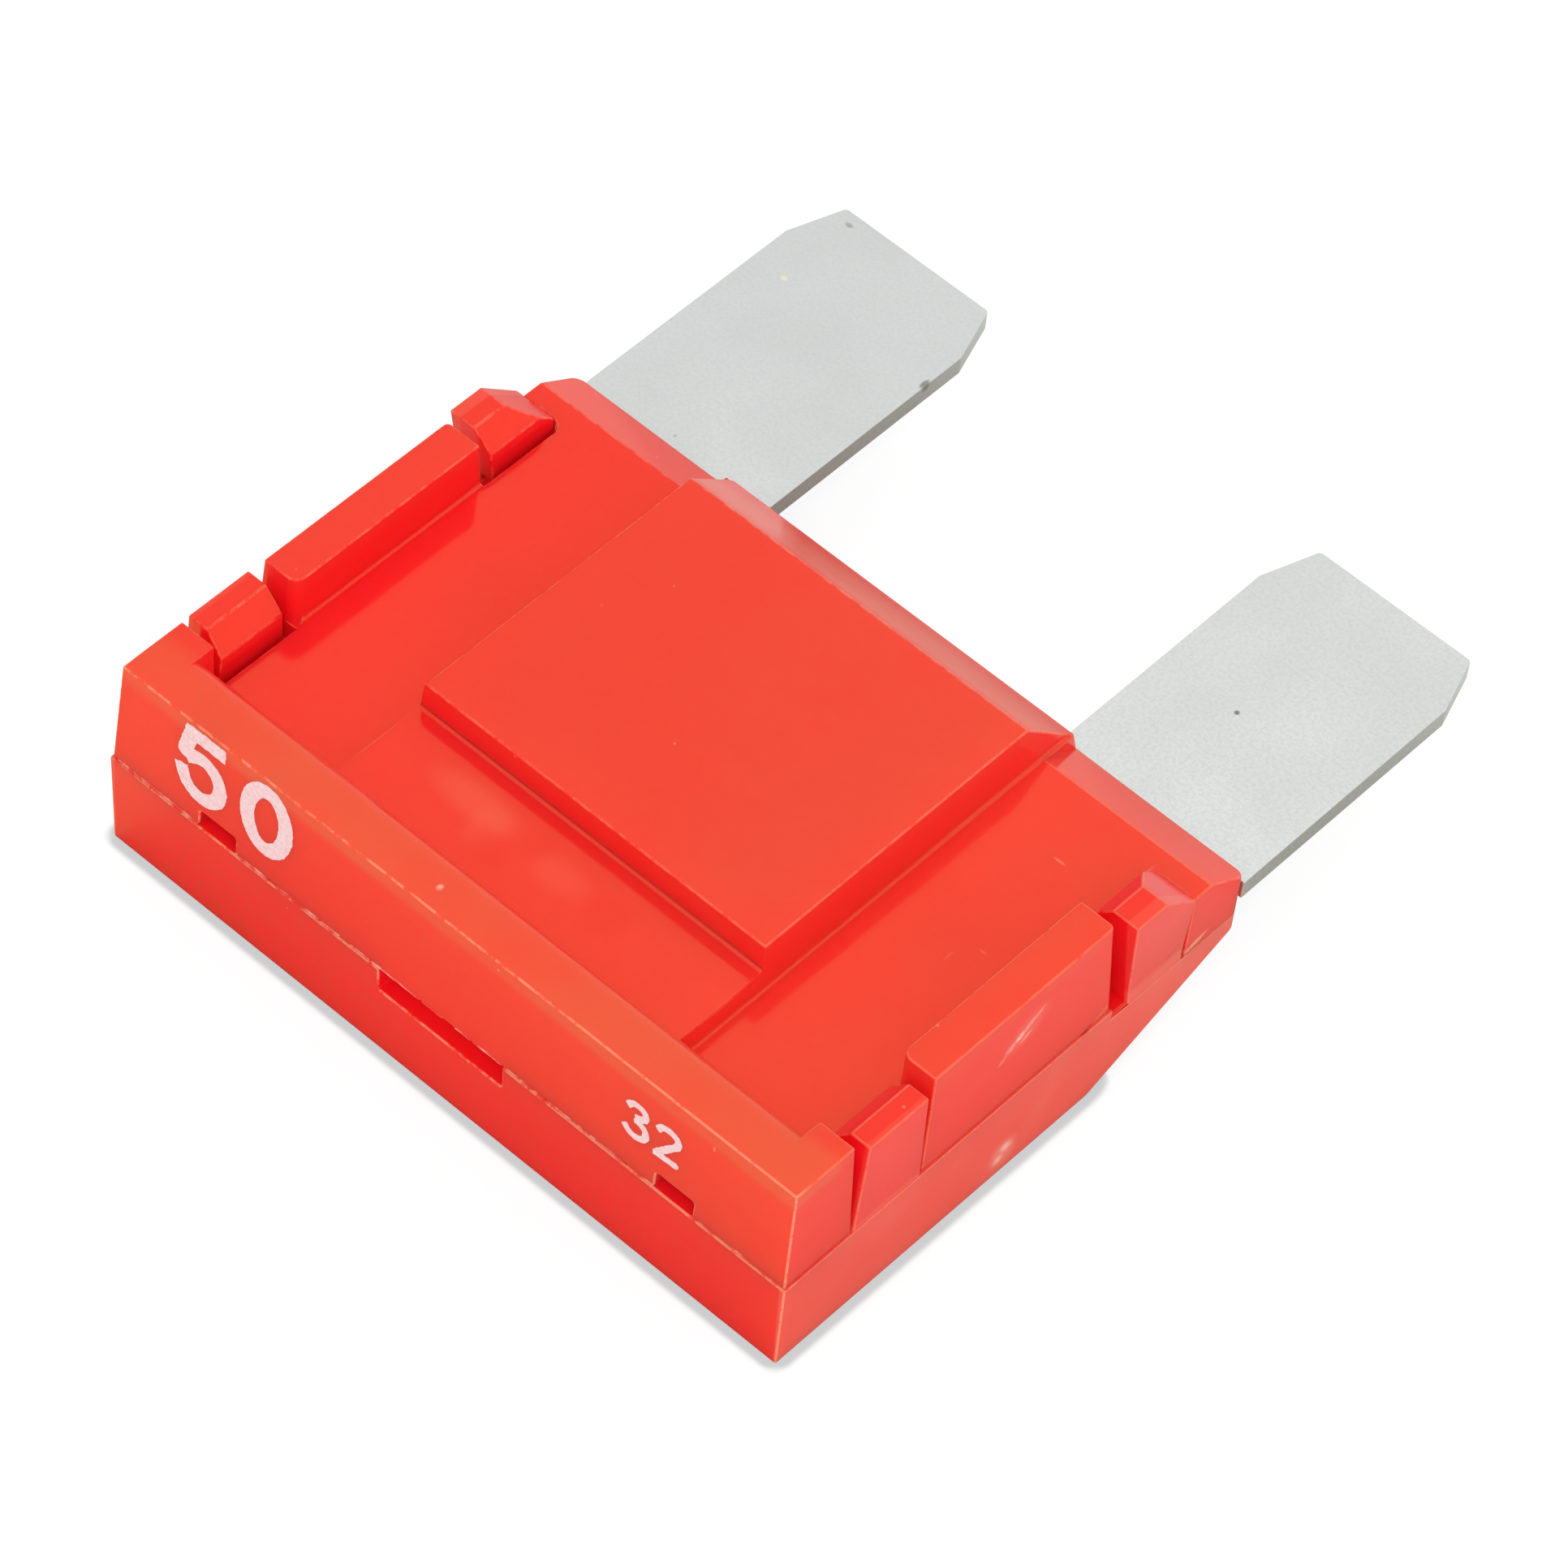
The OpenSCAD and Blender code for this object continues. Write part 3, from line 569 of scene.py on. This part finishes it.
def print_number(name, strokes, weight, seed):
    """Ink shape of strokes, filled cell by cell and cut at its slightly ragged edge."""
    path = np.array([point for stroke in strokes for point in stroke])
    (x0, z0), (x1, z1) = path.min(0) - weight, path.max(0) + weight
    xs, zs = np.arange(x0, x1, INK_STEP), np.arange(z0, z1, INK_STEP)
    grid = np.array([(x, z) for x in xs for z in zs])
    inside = weight / 2 - stroke_distance(grid, strokes, weight / 2)
    ragged = [sum(noise.noise((x * waves, z * waves, seed)) * high for waves, high in RAGGED)
              for x, z in grid]
    level = (inside + np.array(ragged)).reshape(len(xs), len(zs))
    mesh = bmesh.new()
    verts = {}

    def vert(key, x, z):
        if key not in verts:
            verts[key] = mesh.verts.new(head_face(x, z, -INK_T / 2))
        return verts[key]

    for i in range(len(xs) - 1):
        for j in range(len(zs) - 1):
            ring = [(i, j), (i + 1, j), (i + 1, j + 1), (i, j + 1)]
            loop = []
            for p, q in zip(ring, ring[1:] + ring[:1]):
                lp, lq = level[p], level[q]
                if lp > 0:
                    loop.append(vert(p, xs[p[0]], zs[p[1]]))
                if (lp > 0) != (lq > 0):
                    t = lp / (lp - lq)
                    x = xs[p[0]] + t * (xs[q[0]] - xs[p[0]])
                    z = zs[p[1]] + t * (zs[q[1]] - zs[p[1]])
                    loop.append(vert((min(p, q), max(p, q)), x, z))
            if len(loop) > 2:
                mesh.faces.new(loop)
    grown = bmesh.ops.extrude_face_region(mesh, geom=mesh.faces[:])
    for v in grown["geom"]:
        if isinstance(v, bmesh.types.BMVert):
            v.co.y -= 1.5 * INK_T * MM
    bmesh.ops.dissolve_limit(mesh, angle_limit=math.radians(INK_SMOOTH),
                             verts=mesh.verts[:], edges=mesh.edges[:])
    add_mesh(name, mesh, white_ink)


FIVE = [[(-10.04, 8.16), (-11.27, 8.16)], [(-11.27, 8.13), (-11.5, 7.12)],
        arc(-10.72, 6.35, 0.83, 0.89, 128, -168, 24)]
ZERO = [arc(-7.88, 6.785, 0.84, 1.325, 0, 360, 40)]
THREE = [arc(8.04, 6.92, 0.36, 0.27, 158, -80, 14), arc(8.05, 6.1, 0.44, 0.37, 85, -150, 16)]
TWO = [arc(9.35, 6.87, 0.42, 0.3, 160, -30, 12) + [(8.97, 5.8)], [(8.97, 5.76), (9.74, 5.82)]]

print_number("printed_5", FIVE, 0.58, 1.0)
print_number("printed_0", ZERO, 0.61, 2.0)
print_number("printed_3", THREE, 0.27, 3.0)
print_number("printed_2", TWO, 0.27, 4.0)


# Moulding flash: a thin ragged fin on the upper half's lower front edge

# All in millimetres. The flash is higher to the left of FLASH_LEFT
FLASH_STEP = 0.05
FLASH_END = 14.3
WINDOW_X, WINDOW_HALF = 9.87, 0.8
FLASH_LEFT = -10.5
FLASH_HIGH, FLASH_LOW, FLASH_WOBBLE = 0.09, 0.052, 0.06
FLASH_LEAST = 0.04
FLASH_FOOT = 0.012
FLASH_SUNK = -0.02
FLASH_PROUD, FLASH_PROUD_WOBBLE = 0.026, 0.018


def flash_height(x):
    """Height of the flash at a place along the seam, or 0 where it is missing."""
    wobble = noise.noise((x * 1.3, 0, 7.0)) + 0.5 * noise.noise((x * 5.0, 0, 8.0))
    height = (FLASH_HIGH if x < FLASH_LEFT else FLASH_LOW) + FLASH_WOBBLE * wobble
    missing = abs(x) > FLASH_END + FLASH_STEP / 2 or abs(abs(x) - WINDOW_X) < WINDOW_HALF
    return 0 if missing or height < FLASH_LEAST else height


def seam_flash():
    """The flash as closed pieces, one ring of four points at each step along the seam."""
    mesh = bmesh.new()
    foot = SEAM_Z + FLASH_FOOT
    previous = None
    for i in range(int(2 * FLASH_END / FLASH_STEP) + 1):
        x = -FLASH_END + i * FLASH_STEP
        height = flash_height(x)
        if not height:
            previous = None
            continue
        proud = FLASH_PROUD + FLASH_PROUD_WOBBLE * noise.noise((x * 3.0, 0, 9.0))
        corners = [(foot, FLASH_SUNK), (foot, proud), (foot + 0.6 * height, proud),
                   (foot + height, FLASH_SUNK)]
        ring = [mesh.verts.new(head_face(x, z, off)) for z, off in corners]
        if previous is None:
            mesh.faces.new(ring[::-1])
        else:
            for a, b in zip(range(4), (1, 2, 3, 0)):
                mesh.faces.new((previous[a], previous[b], ring[b], ring[a]))
        if not flash_height(x + FLASH_STEP):
            mesh.faces.new(ring)
        previous = ring
    o = add_mesh("seam_flash", mesh, flash)


seam_flash()


# Floor, light and background

FLOOR_HALF = 1.5
FLOOR_DROP = 0.00002
WORLD_LIGHT = 0.6
WORLD_FILL = 0.68
FILL_FROM = (0.80, -0.57, 0.19)
LAMP_DISTANCE = 0.9

# The floor that the camera sees: its brightness, the reach of the two shadows in metres, and colours
PAPER_GLOW = 0.91
CONTACT_REACH, UNDER_REACH = 0.0005, 0.006
CONTACT_SHADOW = (0.55, 0.585, 0.595)
UNDER_SHADOW = (0.78, 0.81, 0.82)
PAPER_DIFFUSE = (0.13, 0.13, 0.13)

# The floor that lights the part, and the floor that the part mirrors, with painted shade that is
# darkest under the part and close behind it: beside it, close behind it, far behind it, in front of
# it and under it
LIT_FLOOR = (0.95, 0.95, 0.95)
MIRROR_SIDE = (0.62, 0.6, 0.56)
MIRROR_NEAR_BACK = (0.42, 0.4, 0.36)
MIRROR_BACK = (0.85, 0.84, 0.8)
MIRROR_FRONT = (0.75, 0.73, 0.42)
MIRROR_UNDER = (0.28, 0.27, 0.2)


def make_floor():
    """White floor. The camera sees it mostly as white paper with a narrow contact shadow."""
    mesh = bpy.data.meshes.new("floor")
    h = FLOOR_HALF
    mesh.from_pydata([(-h, -h, 0), (h, -h, 0), (h, h, 0), (-h, h, 0)], [], [(0, 1, 2, 3)])
    floor = add_object("floor", mesh)
    floor.location.z = -FLOOR_DROP
    g = Graph("floor")
    g.tree.nodes.remove(g.bsdf)
    path = g.node("ShaderNodeLightPath").outputs

    # What the camera sees
    contact = g.node("ShaderNodeAmbientOcclusion", samples=16)
    contact.inputs["Distance"].default_value = CONTACT_REACH
    near = g.ramp(contact.outputs["AO"], 0.8, 0.97, smooth=False)
    wide = g.node("ShaderNodeAmbientOcclusion", samples=12)
    wide.inputs["Distance"].default_value = UNDER_REACH
    under = g.ramp(wide.outputs["AO"], 0.3, 0.5, smooth=False)
    glow = g.node("ShaderNodeEmission")
    shadow = g.mix(near, CONTACT_SHADOW, g.mix(under, UNDER_SHADOW, (1, 1, 1)))
    g.link(shadow, glow.inputs["Color"])
    glow.inputs["Strength"].default_value = PAPER_GLOW

    # What lights the part and what it mirrors, by the place along the part in millimetres, with painted
    # shade near the part and under it
    diffuse = g.node("ShaderNodeBsdfDiffuse")
    y = g.vector("DOT_PRODUCT", g.scaled(), (0, 1, 0))
    front = g.ramp(y, -14, -17, smooth=False)
    near_back = g.ramp(y, 6, 9)
    behind = g.ramp(y, 13, 24)
    side = g.mix(behind, MIRROR_SIDE, MIRROR_BACK)
    side = g.mix(g.times(near_back, g.math("SUBTRACT", 1.0, behind)), side, MIRROR_NEAR_BACK)
    open_floor = g.mix(front, side, MIRROR_FRONT)
    mirrored = g.mix(g.ramp(wide.outputs["AO"], 0.45, 1.0, smooth=False), MIRROR_UNDER, open_floor)
    tone = g.mix(path["Is Glossy Ray"], LIT_FLOOR, mirrored)
    tone = g.mix(path["Is Camera Ray"], tone, PAPER_DIFFUSE)
    g.put(diffuse.inputs["Color"], tone)
    both = g.node("ShaderNodeAddShader")
    g.link(diffuse.outputs[0], both.inputs[0])
    g.link(glow.outputs[0], both.inputs[1])
    seen = g.node("ShaderNodeMixShader")
    g.link(path["Is Camera Ray"], seen.inputs[0])
    g.link(diffuse.outputs[0], seen.inputs[1])
    g.link(both.outputs[0], seen.inputs[2])
    g.link(seen.outputs[0], g.out.inputs["Surface"])
    mesh.materials.append(g.material)


def make_world():
    """White all round for the camera and for mirror images, and soft light, stronger from the right
    front."""
    world = bpy.data.worlds.new("studio")
    scene.world = world
    world.use_nodes = True
    tree = world.node_tree
    back = tree.nodes["Background"]
    back.inputs["Color"].default_value = (1, 1, 1, 1)
    node = node_maker(tree)
    path = node("ShaderNodeLightPath")
    seen = node("ShaderNodeMath", path["Is Camera Ray"], path["Is Glossy Ray"], operation="MAXIMUM")[0]
    toward = node("ShaderNodeTexCoord")["Generated"]
    facing = node("ShaderNodeVectorMath", toward, FILL_FROM, operation="DOT_PRODUCT")["Value"]
    fill = node("ShaderNodeMapRange", facing, 0.0, 1.0, WORLD_LIGHT, WORLD_LIGHT + WORLD_FILL)["Result"]
    strength = node("ShaderNodeMix", seen, data_type="FLOAT")
    mixer = strength[0].node
    tree.links.new(fill, mixer.inputs["A"])
    mixer.inputs["B"].default_value = 1.0
    tree.links.new(strength[0], back.inputs["Strength"])


def make_lamp(name, toward, share, size):
    """Round soft lamp in a direction from the part. Share is what it adds to a white upward face.
    It isn't seen in mirror images, which show the white surroundings."""
    toward = Vector(toward).normalized()
    data = bpy.data.lights.new(name, "AREA")
    data.shape = "DISK"
    data.size = size
    data.energy = share * (math.pi * LAMP_DISTANCE) ** 2 / toward.z
    lamp = add_object(name, data)
    lamp.visible_glossy = False
    lamp.location = toward * LAMP_DISTANCE
    lamp.rotation_mode = "QUATERNION"
    lamp.rotation_quaternion = toward.to_track_quat("Z", "Y")


make_floor()
make_world()
make_lamp("front_lamp", (0.33, -0.50, 0.80), 0.11, 0.05)
make_lamp("rear_lamp", (-0.15, 0.65, 0.70), 0.15, 0.6)
scene.view_settings.view_transform = "Standard"
